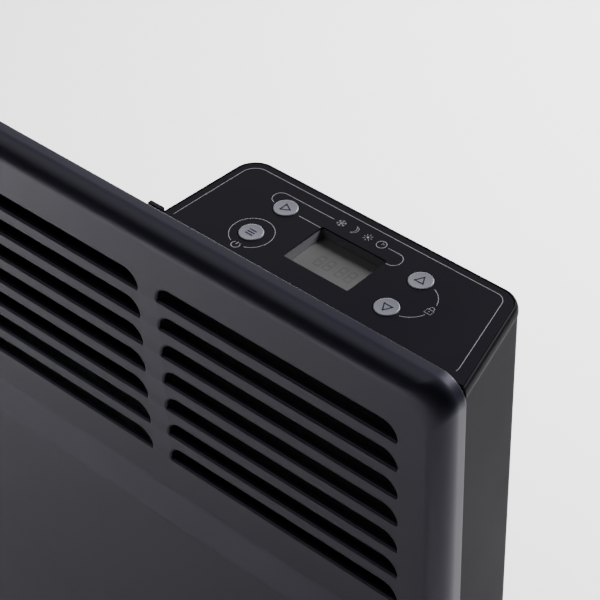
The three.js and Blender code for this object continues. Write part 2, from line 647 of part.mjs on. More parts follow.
add('element_fins', elementFins(), FINISH.metal);
add('element_rod', rodX(4, ELEMENT_Y, ELEMENT_Z, -288, 288, 12), FINISH.metal);
[['left', -1], ['right', 1]].forEach(([side, sign]) => {
  const [x0, x1] = [276, 283].map((x) => sign * x).sort((a, b) => a - b);
  add(`element_bracket_${side}`, elementBracket(sign), FINISH.metal);
  add(`element_bush_${side}`, ringX(7.7, 4.3, x0, x1), FINISH.pale);
  add(`element_terminal_${side}`, elementTerminal(sign), FINISH.metal);
  add(`foot_${side}`, foot(sign), FINISH.plastic);
  add(`foot_nut_plate_${side}`, footNutPlate(sign), FINISH.metal);
  add(`foot_pad_${side}_front`, footPad(sign, -1), FINISH.rubber);
  add(`foot_pad_${side}_back`, footPad(sign, 1), FINISH.rubber);
});
add('thermal_cutout', thermalCutout(), FINISH.gloss);
add('tilt_switch', slab(286, 303, -2, 12, CASING_BOTTOM + 1.2, 70), FINISH.gloss);
add('element_wire_live', tube([
  [300.5, 0, 128], [304, -1, 150], [298, -2, 190], [286, -1.6, 224],
  [283.6, -1.4, 246], [278, 0, 258], [270, 2.5, 270],
], 1.7, 6, 18), FINISH.rubber);
add('element_wire_neutral', tube([
  [-300.5, 0, 128], [-303, 6, 100], [-292, 22, 62], [-200, 23, 54], [0, 23, 54],
  [200, 23, 54], [276, 23, 62], [297, 20, 110], [296, 12, 180], [288, 3, 226],
  [286.6, 1.6, 246], [284, 3, 262], [280, 4, 270],
], 1.7, 6, 40), FINISH.rubber);

// Screws: one through each foot, three up through the panel's lower flange, two in the housing's ear.
[['left', -1], ['right', 1]].forEach(([side, sign]) => {
  const bolt = screw(2.5, 5, 3.2, 20).translate(sign * FOOT_X, FOOT_BOLT_Y, FOOT_BOLT_SEAT - GAP);
  add(`foot_screw_${side}`, bolt, FINISH.metal);
});
PANEL_SCREW_X.forEach((x, i) => {
  const bolt = screw(1.6, 3.4, 2, 11).translate(x, PANEL_SCREW_Y, PANEL_BOTTOM - GAP);
  add(`panel_screw_${i + 1}`, bolt, FINISH.metal);
});
EAR_SCREW_Z.forEach((z, i) => {
  const bolt = screw(1.5, 3, 2, 6).rotateX(-Math.PI / 2).translate(EAR_SCREW_X, -17.9 - GAP, z);
  add(`ear_screw_${i + 1}`, bolt, FINISH.metal);
});

export default heater;
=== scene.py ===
import math

import bmesh
import bpy
from mathutils import Matrix, Vector


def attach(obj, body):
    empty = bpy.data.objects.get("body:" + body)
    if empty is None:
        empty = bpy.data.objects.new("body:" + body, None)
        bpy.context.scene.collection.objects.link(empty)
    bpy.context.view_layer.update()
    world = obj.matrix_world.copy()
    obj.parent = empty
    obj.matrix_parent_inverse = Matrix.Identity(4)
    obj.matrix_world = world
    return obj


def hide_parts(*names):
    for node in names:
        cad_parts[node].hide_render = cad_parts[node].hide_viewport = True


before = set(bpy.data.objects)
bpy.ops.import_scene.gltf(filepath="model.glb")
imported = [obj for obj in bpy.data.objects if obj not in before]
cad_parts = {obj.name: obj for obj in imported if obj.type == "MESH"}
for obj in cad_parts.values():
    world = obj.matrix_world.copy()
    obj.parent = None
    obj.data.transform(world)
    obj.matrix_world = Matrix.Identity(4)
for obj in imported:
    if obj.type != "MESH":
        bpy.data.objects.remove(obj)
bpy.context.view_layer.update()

MM = 0.001

# ---- dimensions: those of the CAD part, and a few that only the looks have ----------------------
WIDTH = 640
PANEL_BOTTOM = 40
PANEL_TOP = 440
SHEET = 1.0
GAP = 0.3                      # between neighbouring pieces
FACE_Y = -37.9
FLANGE_Y = -23.6
FLANGE_DEPTH = 4.3             # straight flange behind the rounded border
ROUNDING = 10
OUTER_CORNER = 13
FACE_CORNER = 17

SLOT_ROWS = 7
SLOT_GROUPS = 4
SLOT_LENGTH = 138.5
SLOT_HEIGHT = 8.5
SLOT_PITCH = 16.3
SLOT_GROUP_GAP = 12.3
FIRST_SLOT_TOP = 410.4
SLOT_RIM = 3                   # depth of the rim behind the panel's face
SLOT_ROLL = 1.4                # radius of the pressed edge round each louvre

# The raised field below the louvres: its edge, and how far and how deep its bevels run.
FIELD_TOP = 285
FIELD_BEVEL = 20.6
FIELD_STEP = 5.1
FIELD_MARGIN = 19
FIELD_SIDE_BEVEL = 6
FIELD_CORNER = 10

BACK_Y = 37.9
CASING_SHEET = 0.8
CASING_BOTTOM = 44.3
SIDE_TAPER = 17.6              # how far each side leans in between the flange and the back
HOOD_LOW = 352
HOOD_HIGH = 437
HANGER_SLOTS = ((-230, 325.5), (95, 325.5), (-230, 73.5), (230, 73.5))   # centres, x and z

BOX_TOP = 434.3
BOX_BOTTOM = 244
BOX_LEFT_FRONT = 143.6
BOX_LEFT_BACK = 147.2
BOX_RIGHT_FRONT = 318.6
BOX_RIGHT_BACK = 301.3
BOX_FRONT_Y = -23.3
BOX_CORNER = 12
BOX_FRONT_CORNER = 1.2
BOX_WALL = 2
CAP_SPLIT = 429.3
CAP_OVERHANG = 0.35            # how far the cap's lower edge stands out from the wall
CAP_RECESS = BOX_TOP - 1
CAP_UNDERSIDE = BOX_TOP - 3
WALL_TOP = CAP_SPLIT - GAP
RIM_WIDTH = 1.5
LABEL_TOP = BOX_TOP - 0.1
LABEL_BOTTOM = BOX_TOP - 0.7
EAR_LEFT = 134.8
EAR_Y = (-17.9, -16)
EAR_SCREW_X = 139
EAR_SCREW_Z = (280, 380)
EAR_HOLE = 1.8
GLAND_X = 268
GLAND_Z = 262
GLAND_HOLE = 7
VENT_X = (190, 258)
VENT_LOW = BOX_BOTTOM + 18
VENT_ROWS = 6
VENT_PITCH = 7
VENT_HEIGHT = 3

BUTTON_RADIUS = 5.72
BUTTON_LEFT_X = 184.6
BUTTON_RIGHT_X = 261.6
BUTTON_FRONT_Y = -4.2
BUTTON_BACK_Y = 18.1
BUTTON_TOP = BOX_TOP + 0.3
BUTTON_CLEARANCE = 0.35        # between a key and the holes round it
BUTTONS = {
    "menu": (BUTTON_LEFT_X, BUTTON_FRONT_Y),
    "mode": (BUTTON_LEFT_X, BUTTON_BACK_Y),
    "down": (BUTTON_RIGHT_X, BUTTON_FRONT_Y),
    "up": (BUTTON_RIGHT_X, BUTTON_BACK_Y),
}
LCD_X = (205.6, 242.4)
LCD_Y = (-6.9, 18.9)
LCD_TOP = BOX_TOP - 5
LCD_LIP = 0.8                  # how far the window walls slope in over the glass
LCD_WELL_DEPTH = 7.5
DIGIT_X = (214.5, 219.6, 226.6, 231.7)
DIGIT_Y = 1.5
DIGIT_WIDTH = 3.9
DIGIT_HEIGHT = 7.2
DIGIT_BAR = 0.75
COLON_X = 224.8
COLON_Y = (3.6, 6.4)
COLON_RADIUS = 0.4
PRINT_SINK = 0.01              # how far a print reaches into the surface below it


# ---- outlines -----------------------------------------------------------------------------------
def rounded(corners, steps):
    """Closed outline from (x, y, radius) corners, anticlockwise, each corner as an arc."""
    out = []
    count = len(corners)
    for i, (x, y, radius) in enumerate(corners):
        at = Vector((x, y))
        before = Vector(corners[i - 1][:2])
        after = Vector(corners[(i + 1) % count][:2])
        u = (before - at).normalized()
        v = (after - at).normalized()
        half = u.angle(v) / 2
        centre = at + (u + v).normalized() * (radius / math.sin(half))
        start = at + u * (radius / math.tan(half)) - centre
        sweep = math.pi - 2 * half
        for k in range(steps + 1):
            arm = start.copy()
            arm.rotate(Matrix.Rotation(sweep * k / steps, 2))
            out.append((centre.x + arm.x, centre.y + arm.y))
    return out


def rectangle(x0, x1, y0, y1, radius, steps):
    return rounded([(x0, y0, radius), (x1, y0, radius), (x1, y1, radius), (x0, y1, radius)], steps)


def circle(x, y, radius, steps):
    turn = 2 * math.pi / steps
    return [(x + radius * math.cos(turn * k), y + radius * math.sin(turn * k)) for k in range(steps)]


def box_plan(inset, steps=14):
    """Plan of the control housing, shrunk by an inset."""
    taper = (BOX_RIGHT_FRONT - BOX_RIGHT_BACK) / (BACK_Y - BOX_FRONT_Y)
    lean = math.hypot(1, taper)
    front = BOX_FRONT_Y + inset
    back = BACK_Y - inset
    corner = max(BOX_CORNER - inset, 1)
    front_corner = max(BOX_FRONT_CORNER - inset, 0.8)
    return rounded([
        (BOX_LEFT_FRONT + inset, front, front_corner),
        (BOX_RIGHT_FRONT - inset * lean - taper * inset, front, front_corner),
        (BOX_RIGHT_BACK - inset * lean + taper * inset, back, corner),
        (BOX_LEFT_BACK + inset, back, corner),
    ], steps)


def at_z(outline, z):
    return [(x, y, z) for x, y in outline]


def at_y(outline, y):
    """The outline's (x, y) become (x, z) in a plane that faces the front."""
    return [(x, y, z) for x, z in outline]


# ---- meshes -------------------------------------------------------------------------------------
class Skin:
    """Vertices and faces of one piece, in millimetres."""

    def __init__(self):
        self.mesh = bmesh.new()

    def ring(self, points):
        return [self.mesh.verts.new(Vector(p) * MM) for p in points]

    def band(self, a, b):
        for k in range(len(a)):
            j = (k + 1) % len(a)
            self.mesh.faces.new((a[k], a[j], b[j], b[k]))

    def loft(self, outlines):
        rings = [self.ring(points) for points in outlines]
        for a, b in zip(rings, rings[1:]):
            self.band(a, b)
        return rings

    def cap(self, ring):
        self.mesh.faces.new(ring)

    def sheet(self, outer, holes):
        """A flat face inside one ring, with other rings as holes."""
        edges = []
        for ring in [outer] + holes:
            for k in range(len(ring)):
                pair = (ring[k], ring[(k + 1) % len(ring)])
                edges.append(self.mesh.edges.get(pair) or self.mesh.edges.new(pair))
        bmesh.ops.triangle_fill(self.mesh, edges=edges, use_beauty=True)

    def solid(self, outlines):
        rings = self.loft(outlines)
        self.cap(rings[0])
        self.cap(rings[-1])

    def piece(self, name, sharp=35):
        bmesh.ops.remove_doubles(self.mesh, verts=self.mesh.verts, dist=1e-7)
        bmesh.ops.recalc_face_normals(self.mesh, faces=self.mesh.faces)
        return finished(name, self.mesh, sharp)


def finished(name, mesh, sharp):
    """Object from a bmesh, smooth shaded with hard edges kept where the surface folds."""
    limit = math.radians(sharp)
    for face in mesh.faces:
        face.smooth = True
    for edge in mesh.edges:
        if len(edge.link_faces) == 2 and edge.calc_face_angle(0) > limit:
            edge.smooth = False
    data = bpy.data.meshes.new(name)
    mesh.to_mesh(data)
    mesh.free()
    piece = bpy.data.objects.new(name, data)
    bpy.context.scene.collection.objects.link(piece)
    normals = piece.modifiers.new("Normals", "WEIGHTED_NORMAL")
    normals.keep_sharp = True
    return piece


def place(piece, material, nodes=(), body="body"):
    """Gives a piece its material and ties it to the frame."""
    piece.data.materials.clear()
    piece.data.materials.append(material)
    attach(piece, body)
    if nodes:
        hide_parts(*nodes)


def softened(node, radius, angle=30):
    """A copy of a CAD node with its flat faces rejoined and its edges rounded."""
    flat = math.radians(1.5)
    mesh = bmesh.new()
    mesh.from_mesh(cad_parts[node].data)
    bmesh.ops.remove_doubles(mesh, verts=mesh.verts, dist=1e-6)
    bmesh.ops.dissolve_limit(
        mesh, angle_limit=flat, verts=mesh.verts, edges=mesh.edges, delimit=set())
    fold = math.radians(angle)
    edges = [e for e in mesh.edges if len(e.link_faces) == 2 and e.calc_face_angle(0) > fold]
    bmesh.ops.bevel(
        mesh, geom=edges, offset=radius * MM, offset_type="OFFSET", segments=2,
        profile=0.5, affect="EDGES", clamp_overlap=True)
    return finished(node + "_shell", mesh, 50)


# ---- materials ----------------------------------------------------------------------------------
def link(tree, a, out, b, into):
    tree.links.new(a.outputs[out], b.inputs[into])


def surface(name, colour, roughness, metallic=0.0, grain=1800.0, relief=0.03, mottle=0.12,
            rough_range=0.06, edge_wear_and_glint=0.0, specular=0.5, tint=(1, 1, 1), stretch=(1, 1, 1)):
    """Procedural finish: fine grain as relief, slow mottling of colour and gloss, outer edges painted
    paler as wear and as a painted edge highlight.
    """
    material = bpy.data.materials.new(name)
    material.use_nodes = True
    tree = material.node_tree
    shader = tree.nodes["Principled BSDF"]
    shader.inputs["Metallic"].default_value = metallic
    shader.inputs["Specular IOR Level"].default_value = specular
    shader.inputs["Specular Tint"].default_value = (*tint, 1)
    coordinates = tree.nodes.new("ShaderNodeTexCoord")
    mapping = tree.nodes.new("ShaderNodeMapping")
    mapping.inputs["Scale"].default_value = stretch
    link(tree, coordinates, "Object", mapping, "Vector")

    def noise(scale, detail):
        node = tree.nodes.new("ShaderNodeTexNoise")
        node.inputs["Scale"].default_value = scale
        node.inputs["Detail"].default_value = detail
        node.inputs["Roughness"].default_value = 0.55
        link(tree, mapping, "Vector", node, "Vector")
        return node

    blotches = noise(14.0, 3)
    fine = noise(grain, 2)

    shade = tree.nodes.new("ShaderNodeMixRGB")
    shade.inputs["Color1"].default_value = (*[c * (1 - mottle) for c in colour], 1)
    shade.inputs["Color2"].default_value = (*[min(c * (1 + mottle), 1) for c in colour], 1)
    link(tree, blotches, "Fac", shade, "Fac")
    last = shade
    if edge_wear_and_glint:
        # Pointiness is 0.5 on flat faces and rises on outer edges; the paler colour there is partly
        # wear and partly a painted highlight.
        edge = tree.nodes.new("ShaderNodeNewGeometry")
        ramp = tree.nodes.new("ShaderNodeMapRange")
        ramp.inputs["From Min"].default_value = 0.52
        ramp.inputs["From Max"].default_value = 0.62
        ramp.inputs["To Max"].default_value = edge_wear_and_glint
        link(tree, edge, "Pointiness", ramp, "Value")
        pale_edge_mix = tree.nodes.new("ShaderNodeMixRGB")
        pale_edge_mix.inputs["Color2"].default_value = (*[min(c * 2.2 + 0.02, 1) for c in colour], 1)
        link(tree, ramp, "Result", pale_edge_mix, "Fac")
        link(tree, shade, "Color", pale_edge_mix, "Color1")
        last = pale_edge_mix
    link(tree, last, "Color", shader, "Base Color")

    gloss = tree.nodes.new("ShaderNodeMapRange")
    gloss.inputs["To Min"].default_value = max(roughness - rough_range, 0.02)
    gloss.inputs["To Max"].default_value = roughness + rough_range
    link(tree, blotches, "Fac", gloss, "Value")
    link(tree, gloss, "Result", shader, "Roughness")

    bump = tree.nodes.new("ShaderNodeBump")
    bump.inputs["Strength"].default_value = relief
    bump.inputs["Distance"].default_value = 0.4 * MM
    link(tree, fine, "Fac", bump, "Height")
    link(tree, bump, "Normal", shader, "Normal")
    return material


SHEEN = (0.84, 0.80, 1.0)      # tint of the reflections on the dark finishes, slightly blue
# The panel's paler outer edges are partly wear and partly a painted edge highlight.
PAINT = surface("panel_powder_coat", (0.0120, 0.0115, 0.0190), 0.35, grain=2600, relief=0.05, edge_wear_and_glint=0.25,
                specular=0.28, tint=SHEEN)
CASING = surface("casing_powder_coat", (0.0075, 0.0075, 0.0100), 0.45, grain=2200, relief=0.10,
                 edge_wear_and_glint=0.2, specular=0.12)
PLASTIC = surface("housing_plastic", (0.0082, 0.0074, 0.0100), 0.55, grain=3200, relief=0.06, edge_wear_and_glint=0.15,
                  specular=0.012, tint=SHEEN)
CAP_PLASTIC = surface("cap_plastic", (0.0045, 0.0042, 0.0060), 0.42, grain=3200, relief=0.05, edge_wear_and_glint=0.1,
                      specular=0.02)
LABEL = surface("label_film", (0.0065, 0.006, 0.0085), 0.20, grain=4200, relief=0.015, mottle=0.06,
                rough_range=0.03, specular=0.4, tint=SHEEN)
PRINT = surface("label_print_pale", (0.17, 0.16, 0.18), 0.45, grain=3000, relief=0.03)
KEY = surface("key_plastic", (0.10, 0.10, 0.125), 0.38, grain=3600, relief=0.09, mottle=0.05)
KEY_PRINT = surface("key_print", (0.006, 0.006, 0.014), 0.5, grain=3000, relief=0.03, specular=0.1)
DISPLAY = surface("display_glass", (0.062, 0.062, 0.063), 0.34, grain=5200, relief=0.02, mottle=0.04)
SEGMENTS = surface("display_ghost_segments", (0.046, 0.046, 0.048), 0.36, grain=5200, relief=0.02)
WELL = surface("display_well", (0.092, 0.090, 0.100), 0.60, grain=3200, relief=0.05)
ALUMINIUM = surface("extruded_aluminium", (0.60, 0.61, 0.63), 0.34, metallic=1.0, grain=900,
                    relief=0.12, stretch=(0.04, 1, 1))
STEEL = surface("galvanised_steel", (0.52, 0.53, 0.55), 0.38, metallic=1.0, grain=160, relief=0.08,
                mottle=0.2)
ROD = surface("element_rod_steel", (0.20, 0.17, 0.15), 0.45, metallic=0.8, grain=900, relief=0.15)
SCREW = surface("zinc_plated_screw", (0.48, 0.49, 0.51), 0.30, metallic=1.0, grain=1500, relief=0.10)
BLACK = surface("component_black", (0.018, 0.018, 0.020), 0.42, grain=2400, relief=0.10)
# Near black: painted shade for the dark inside of the heater, as seen through the louvres.
LOUVRE_SHADE_BLACK = surface("louvre_painted_shade_black", (0.004, 0.004, 0.0045), 0.70, grain=1800, relief=0.2, specular=0.05)
PALE = surface("component_pale", (0.55, 0.52, 0.45), 0.55, grain=2400, relief=0.10)
BOARD = surface("circuit_board", (0.030, 0.130, 0.060), 0.35, grain=1200, relief=0.12, mottle=0.2)
CERAMIC = surface("steatite_ceramic", (0.62, 0.60, 0.55), 0.50, grain=1600, relief=0.15)
RUBBER = surface("rubber", (0.016, 0.016, 0.017), 0.75, grain=1500, relief=0.25, mottle=0.2)
# Near black so the wires seen through the louvres stay dark: painted shade, not the sleeve's own
# colour.
SLEEVE = surface("glass_fibre_sleeve", (0.008, 0.0075, 0.007), 0.75, grain=2600, relief=0.5, mottle=0.2,
                 specular=0.1)
FOOT = surface("foot_plastic", (0.012, 0.012, 0.014), 0.50, grain=1500, relief=0.22, edge_wear_and_glint=0.2,
               specular=0.2)


# ---- front panel --------------------------------------------------------------------------------
def panel_outline(inset, corner):
    half = WIDTH / 2 - inset
    return rectangle(-half, half, PANEL_BOTTOM + inset, PANEL_TOP - inset, corner, 14)


def tray_rings(offset):
    """Rings from the flange's back edge round to the face, offset inwards by a sheet thickness."""
    flat = FLANGE_Y - FLANGE_DEPTH
    rings = []
    steps = 14
    for k in range(steps + 1):
        angle = math.pi / 2 * k / steps
        inset = ROUNDING * (1 - math.cos(angle))
        corner = OUTER_CORNER + (FACE_CORNER - OUTER_CORNER) * (1 - math.cos(angle))
        y = flat + (FACE_Y - flat) * math.sin(angle)
        rings.append(at_y(panel_outline(inset + offset, corner - offset), y + offset))
    return rings


def slot_outline(left, top, grow):
    """A louvre slot: quarter-round upper corners that run down to nearly sharp lower ones."""
    upper = SLOT_HEIGHT - 0.6 + grow
    lower = 0.4 + grow
    right = left + SLOT_LENGTH
    bottom = top - SLOT_HEIGHT
    return rounded([
        (left - grow, bottom - grow, lower),
        (right + grow, bottom - grow, lower),
        (right + grow, top + grow, upper),
        (left - grow, top + grow, upper),
    ], 9)


def field_outline(t, offset):
    """Outline of the raised field, from its outer edge at t = 0 to the foot of the bevel at t = 1."""
    inset = FIELD_MARGIN + FIELD_SIDE_BEVEL * t + offset
    half = WIDTH / 2 - inset
    top = FIELD_TOP - FIELD_BEVEL * t - offset
    return rectangle(-half, half, PANEL_BOTTOM + inset, top, FIELD_CORNER, 8)


def eased(t, share=0.2):
    """0 to 1 with a rounded start and end and a straight run between them."""
    slope = 1 / (1 - share)
    if t < share:
        return slope * t * t / (2 * share)
    if t > 1 - share:
        return 1 - slope * (1 - t) ** 2 / (2 * share)
    return slope * (t - share / 2)


def panel_side(skin, offset):
    """Tray rounding and raised field on one side of the sheet, as rings of vertices."""
    tray = skin.loft(tray_rings(offset))
    steps = 14
    field = skin.loft([
        at_y(field_outline(k / steps, offset), FACE_Y + offset - FIELD_STEP * eased(k / steps))
        for k in range(steps + 1)
    ])
    skin.cap(field[-1])
    return tray, field


def turned_edge():
    """Rings over the back edge of the flange, from the outside to the inside of the sheet."""
    radius = SHEET / 2
    steps = 8
    rings = []
    for k in range(steps + 1):
        angle = math.pi * k / steps
        inset = radius * (1 - math.cos(angle))
        y = FLANGE_Y - radius * (1 - math.sin(angle))
        rings.append(at_y(panel_outline(inset, OUTER_CORNER - inset), y))
    return rings


def louvre_rings(left, top):
    """Rings of one louvre: its rolled edge, its rim, and back to the inside of the sheet."""
    steps = 5
    rings = []
    for k in range(steps + 1):
        angle = math.pi / 2 * k / steps
        grow = SLOT_ROLL * (1 - math.sin(angle))
        rings.append(at_y(slot_outline(left, top, grow), FACE_Y + SLOT_ROLL * (1 - math.cos(angle))))
    rings.append(at_y(slot_outline(left, top, 0), FACE_Y + SLOT_RIM))
    rings.append(at_y(slot_outline(left, top, SHEET), FACE_Y + SLOT_RIM))
    rings.append(at_y(slot_outline(left, top, SHEET), FACE_Y + SHEET))
    return rings


def front_panel():
    skin = Skin()
    tray, field = panel_side(skin, 0)
    inner_tray, inner_field = panel_side(skin, SHEET)
    edge = skin.loft(turned_edge())
    skin.band(tray[0], edge[0])
    skin.band(edge[-1], inner_tray[0])
    span = SLOT_GROUPS * SLOT_LENGTH + (SLOT_GROUPS - 1) * SLOT_GROUP_GAP
    outer_holes = []
    inner_holes = []
    for group in range(SLOT_GROUPS):
        left = -span / 2 + group * (SLOT_LENGTH + SLOT_GROUP_GAP)
        for row in range(SLOT_ROWS):
            rings = skin.loft(louvre_rings(left, FIRST_SLOT_TOP - row * SLOT_PITCH))
            outer_holes.append(rings[0])
            inner_holes.append(rings[-1])
    skin.sheet(tray[-1], outer_holes + [field[0]])
    skin.sheet(inner_tray[-1], inner_holes + [inner_field[0]])
    return skin.piece("panel_pressing", 40)


place(front_panel(), PAINT, ["front_panel"])


# ---- control housing ----------------------------------------------------------------------------
def cut(piece, tools):
    """Subtracts tool objects from a piece and applies the result."""
    for tool in tools:
        step = piece.modifiers.new("Cut", "BOOLEAN")
        step.operation = "DIFFERENCE"
        step.solver = "EXACT"
        step.object = tool
        bpy.context.view_layer.objects.active = piece
        with bpy.context.temp_override(object=piece, active_object=piece):
            bpy.ops.object.modifier_apply(modifier=step.name)
        bpy.data.objects.remove(tool)
    return piece


def solid(name, outlines):
    skin = Skin()
    skin.solid(outlines)
    return skin.piece(name)


def rod_y(name, x, z, radius, y0, y1):
    plan = circle(x, z, radius, 32)
    return solid(name, [at_y(plan, y0), at_y(plan, y1)])


def housing_walls():
    """Open box with softened ends, cut at the back for the gland and the vents."""
    edge = 0.5
    soft = edge * 0.3
    skin = Skin()
    loops = skin.loft([
        at_z(box_plan(edge), BOX_BOTTOM),
        at_z(box_plan(soft), BOX_BOTTOM + soft),
        at_z(box_plan(0), BOX_BOTTOM + edge),
        at_z(box_plan(0), WALL_TOP - edge),
        at_z(box_plan(soft), WALL_TOP - soft),
        at_z(box_plan(edge), WALL_TOP),
        at_z(box_plan(BOX_WALL), WALL_TOP),
        at_z(box_plan(BOX_WALL), BOX_BOTTOM),
    ])
    skin.band(loops[-1], loops[0])
    walls = skin.piece("housing_moulding", 40)
    reach = (BACK_Y - 5, BACK_Y + 5)
    tools = [rod_y("gland_hole", GLAND_X, GLAND_Z, GLAND_HOLE, *reach)]
    for k in range(VENT_ROWS):
        low = VENT_LOW + VENT_PITCH * k
        vent = rectangle(*VENT_X, low, low + VENT_HEIGHT, 1.4, 5)
        tools.append(solid("vent", [at_y(vent, y) for y in reach]))
    return cut(walls, tools)


def housing_ear():
    """Screw flange on the left side; its top stands beside the cap."""
    root = BOX_LEFT_FRONT + 0.6
    beside_cap = BOX_LEFT_FRONT - GAP
    outline = rounded([
        (EAR_LEFT, BOX_BOTTOM, 2), (root, BOX_BOTTOM, 0.3),
        (root, WALL_TOP, 0.2), (beside_cap, WALL_TOP + 0.1, 0.1),
        (beside_cap, BOX_TOP, 0.3), (EAR_LEFT, BOX_TOP, 0.6),
    ], 5)
    ear = solid("housing_ear", [at_y(outline, y) for y in EAR_Y])
    tools = [rod_y("ear_hole", EAR_SCREW_X, z, EAR_HOLE, -20, -12) for z in EAR_SCREW_Z]
    return cut(ear, tools)


place(housing_walls(), PLASTIC, ["control_housing"])
place(housing_ear(), PLASTIC, ["control_housing"])


def bezier(a, b, c, d, t):
    """Point at t on the cubic curve with these four control points."""
    u = 1 - t
    weights = (u ** 3, 3 * u * u * t, 3 * u * t * t, t ** 3)
    return tuple(sum(w * p for w, p in zip(weights, values)) for values in zip(a, b, c, d))


def control_cap():
    """Cap with a slanted side, a rim round the label's recess, and holes for keys and display."""
    skin = Skin()
    rings = [
        at_z(box_plan(BOX_WALL), CAP_SPLIT),
        at_z(box_plan(0), CAP_SPLIT),
        at_z(box_plan(0.07 - CAP_OVERHANG), CAP_SPLIT + 0.15),
    ]
    # The side leans in towards the top and rounds over into the rim: (inset, height below the top).
    side = ((-CAP_OVERHANG, -4.1), (-0.25, -2.6), (0.35, -0.15), (1.4, 0))
    steps = 10
    for k in range(steps + 1):
        inset, drop = bezier(*side, k / steps)
        rings.append(at_z(box_plan(inset), BOX_TOP + drop))
    rings.append(at_z(box_plan(RIM_WIDTH - 0.1), BOX_TOP))
    rings.append(at_z(box_plan(RIM_WIDTH), BOX_TOP - 0.15))
    rings.append(at_z(box_plan(RIM_WIDTH), CAP_RECESS))
    loops = skin.loft(rings)
    outlines = [rectangle(LCD_X[0] - 1, LCD_X[1] + 1, LCD_Y[0] - 1, LCD_Y[1] + 1, 1, 3)]
    outlines += [circle(x, y, BUTTON_RADIUS + BUTTON_CLEARANCE, 48) for x, y in BUTTONS.values()]
    upper = [skin.ring(at_z(outline, CAP_RECESS)) for outline in outlines]
    skin.sheet(loops[-1], upper)
    lower = [skin.ring(at_z(outline, CAP_UNDERSIDE)) for outline in outlines]
    for a, b in zip(upper, lower):
        skin.band(a, b)
    under = skin.ring(at_z(box_plan(BOX_WALL), CAP_UNDERSIDE))
    skin.sheet(under, lower)
    skin.band(under, loops[0])
    return skin.piece("control_cap_moulding", 40)


place(control_cap(), CAP_PLASTIC, ["control_cap"])


def label_film():
    """Printed film with a fine rounded edge, punched for the keys and the display."""
    skin = Skin()
    edge = 0.12
    gap = RIM_WIDTH + 0.5
    loops = skin.loft([
        at_z(box_plan(gap), LABEL_BOTTOM),
        at_z(box_plan(gap), LABEL_TOP - edge),
        at_z(box_plan(gap + edge), LABEL_TOP),
    ])
    outlines = [rectangle(*LCD_X, *LCD_Y, 1.0, 6)]
    outlines += [circle(x, y, BUTTON_RADIUS + BUTTON_CLEARANCE, 64) for x, y in BUTTONS.values()]
    upper = [skin.ring(at_z(points, LABEL_TOP)) for points in outlines]
    lower = [skin.ring(at_z(points, LABEL_BOTTOM)) for points in outlines]
    for a, b in zip(upper, lower):
        skin.band(a, b)
    skin.sheet(loops[-1], upper)
    skin.sheet(loops[0], lower)
    return skin.piece("fascia_film", 30)


place(label_film(), LABEL, ["fascia_label"])


# ---- display ------------------------------------------------------------------------------------
def window(inset, radius):
    """Outline of the display window, drawn in from its edges by an inset."""
    left, right = LCD_X
    front, back = LCD_Y
    return rectangle(left + inset, right - inset, front + inset, back - inset, radius, 5)


def display_well():
    """Window frame below the film: inner walls slope in to a lip that holds the glass."""
    top = LABEL_BOTTOM - GAP
    bottom = top - LCD_WELL_DEPTH
    skin = Skin()
    loops = skin.loft([
        at_z(window(-0.7, 1.2), bottom),
        at_z(window(-0.7, 1.2), top),
        at_z(window(-0.1, 1.0), top),
        at_z(window(LCD_LIP, 0.7), LCD_TOP + 0.3),
        at_z(window(LCD_LIP, 0.7), LCD_TOP + 0.1),
        at_z(window(0.3, 0.7), LCD_TOP + 0.1),
        at_z(window(0.3, 0.7), bottom),
    ])
    skin.band(loops[-1], loops[0])
    return skin.piece("display_window_frame", 40)


def display_glass():
    edge = 0.2
    return solid("display_cell", [
        at_z(window(0.6, 0.4), LCD_TOP - 1.4),
        at_z(window(0.6, 0.4), LCD_TOP - edge),
        at_z(window(0.6 + edge, 0.3), LCD_TOP),
    ])


def raised(name, outlines, z, height):
    """Thin prints: each closed outline becomes a low plate on the level z."""
    skin = Skin()
    for outline in outlines:
        skin.solid([at_z(outline, z), at_z(outline, z + height)])
    return skin.piece(name)


def digit_segments(x):
    """Outlines of the seven bars of one digit, lying in the plane of the glass."""
    gap = 0.18

    def bar(x0, y0, x1, y1):
        return [(x0, y0), (x1, y0), (x1, y1), (x0, y1)]

    middle = DIGIT_HEIGHT / 2
    right = x + DIGIT_WIDTH - DIGIT_BAR
    out = []
    for level in (0, middle, DIGIT_HEIGHT):
        low = DIGIT_Y + min(max(level - DIGIT_BAR / 2, 0), DIGIT_HEIGHT - DIGIT_BAR)
        out.append(bar(x + DIGIT_BAR + gap, low, right - gap, low + DIGIT_BAR))
    for side in (x, right):
        out.append(bar(side, DIGIT_Y + gap, side + DIGIT_BAR, DIGIT_Y + middle - gap))
        out.append(bar(side, DIGIT_Y + middle + gap, side + DIGIT_BAR, DIGIT_Y + DIGIT_HEIGHT - gap))
    return out


def ghost_segments():
    """Unlit bars of the four digits and the colon, just proud of the glass."""
    bars = [bar for digit_x in DIGIT_X for bar in digit_segments(digit_x)]
    colon = [circle(COLON_X, y, COLON_RADIUS, 12) for y in COLON_Y]
    return raised("display_segments", bars + colon, LCD_TOP - PRINT_SINK, 0.03)


place(display_well(), WELL, ["lcd_frame"])
place(display_glass(), DISPLAY, ["lcd_display"])
place(ghost_segments(), SEGMENTS)


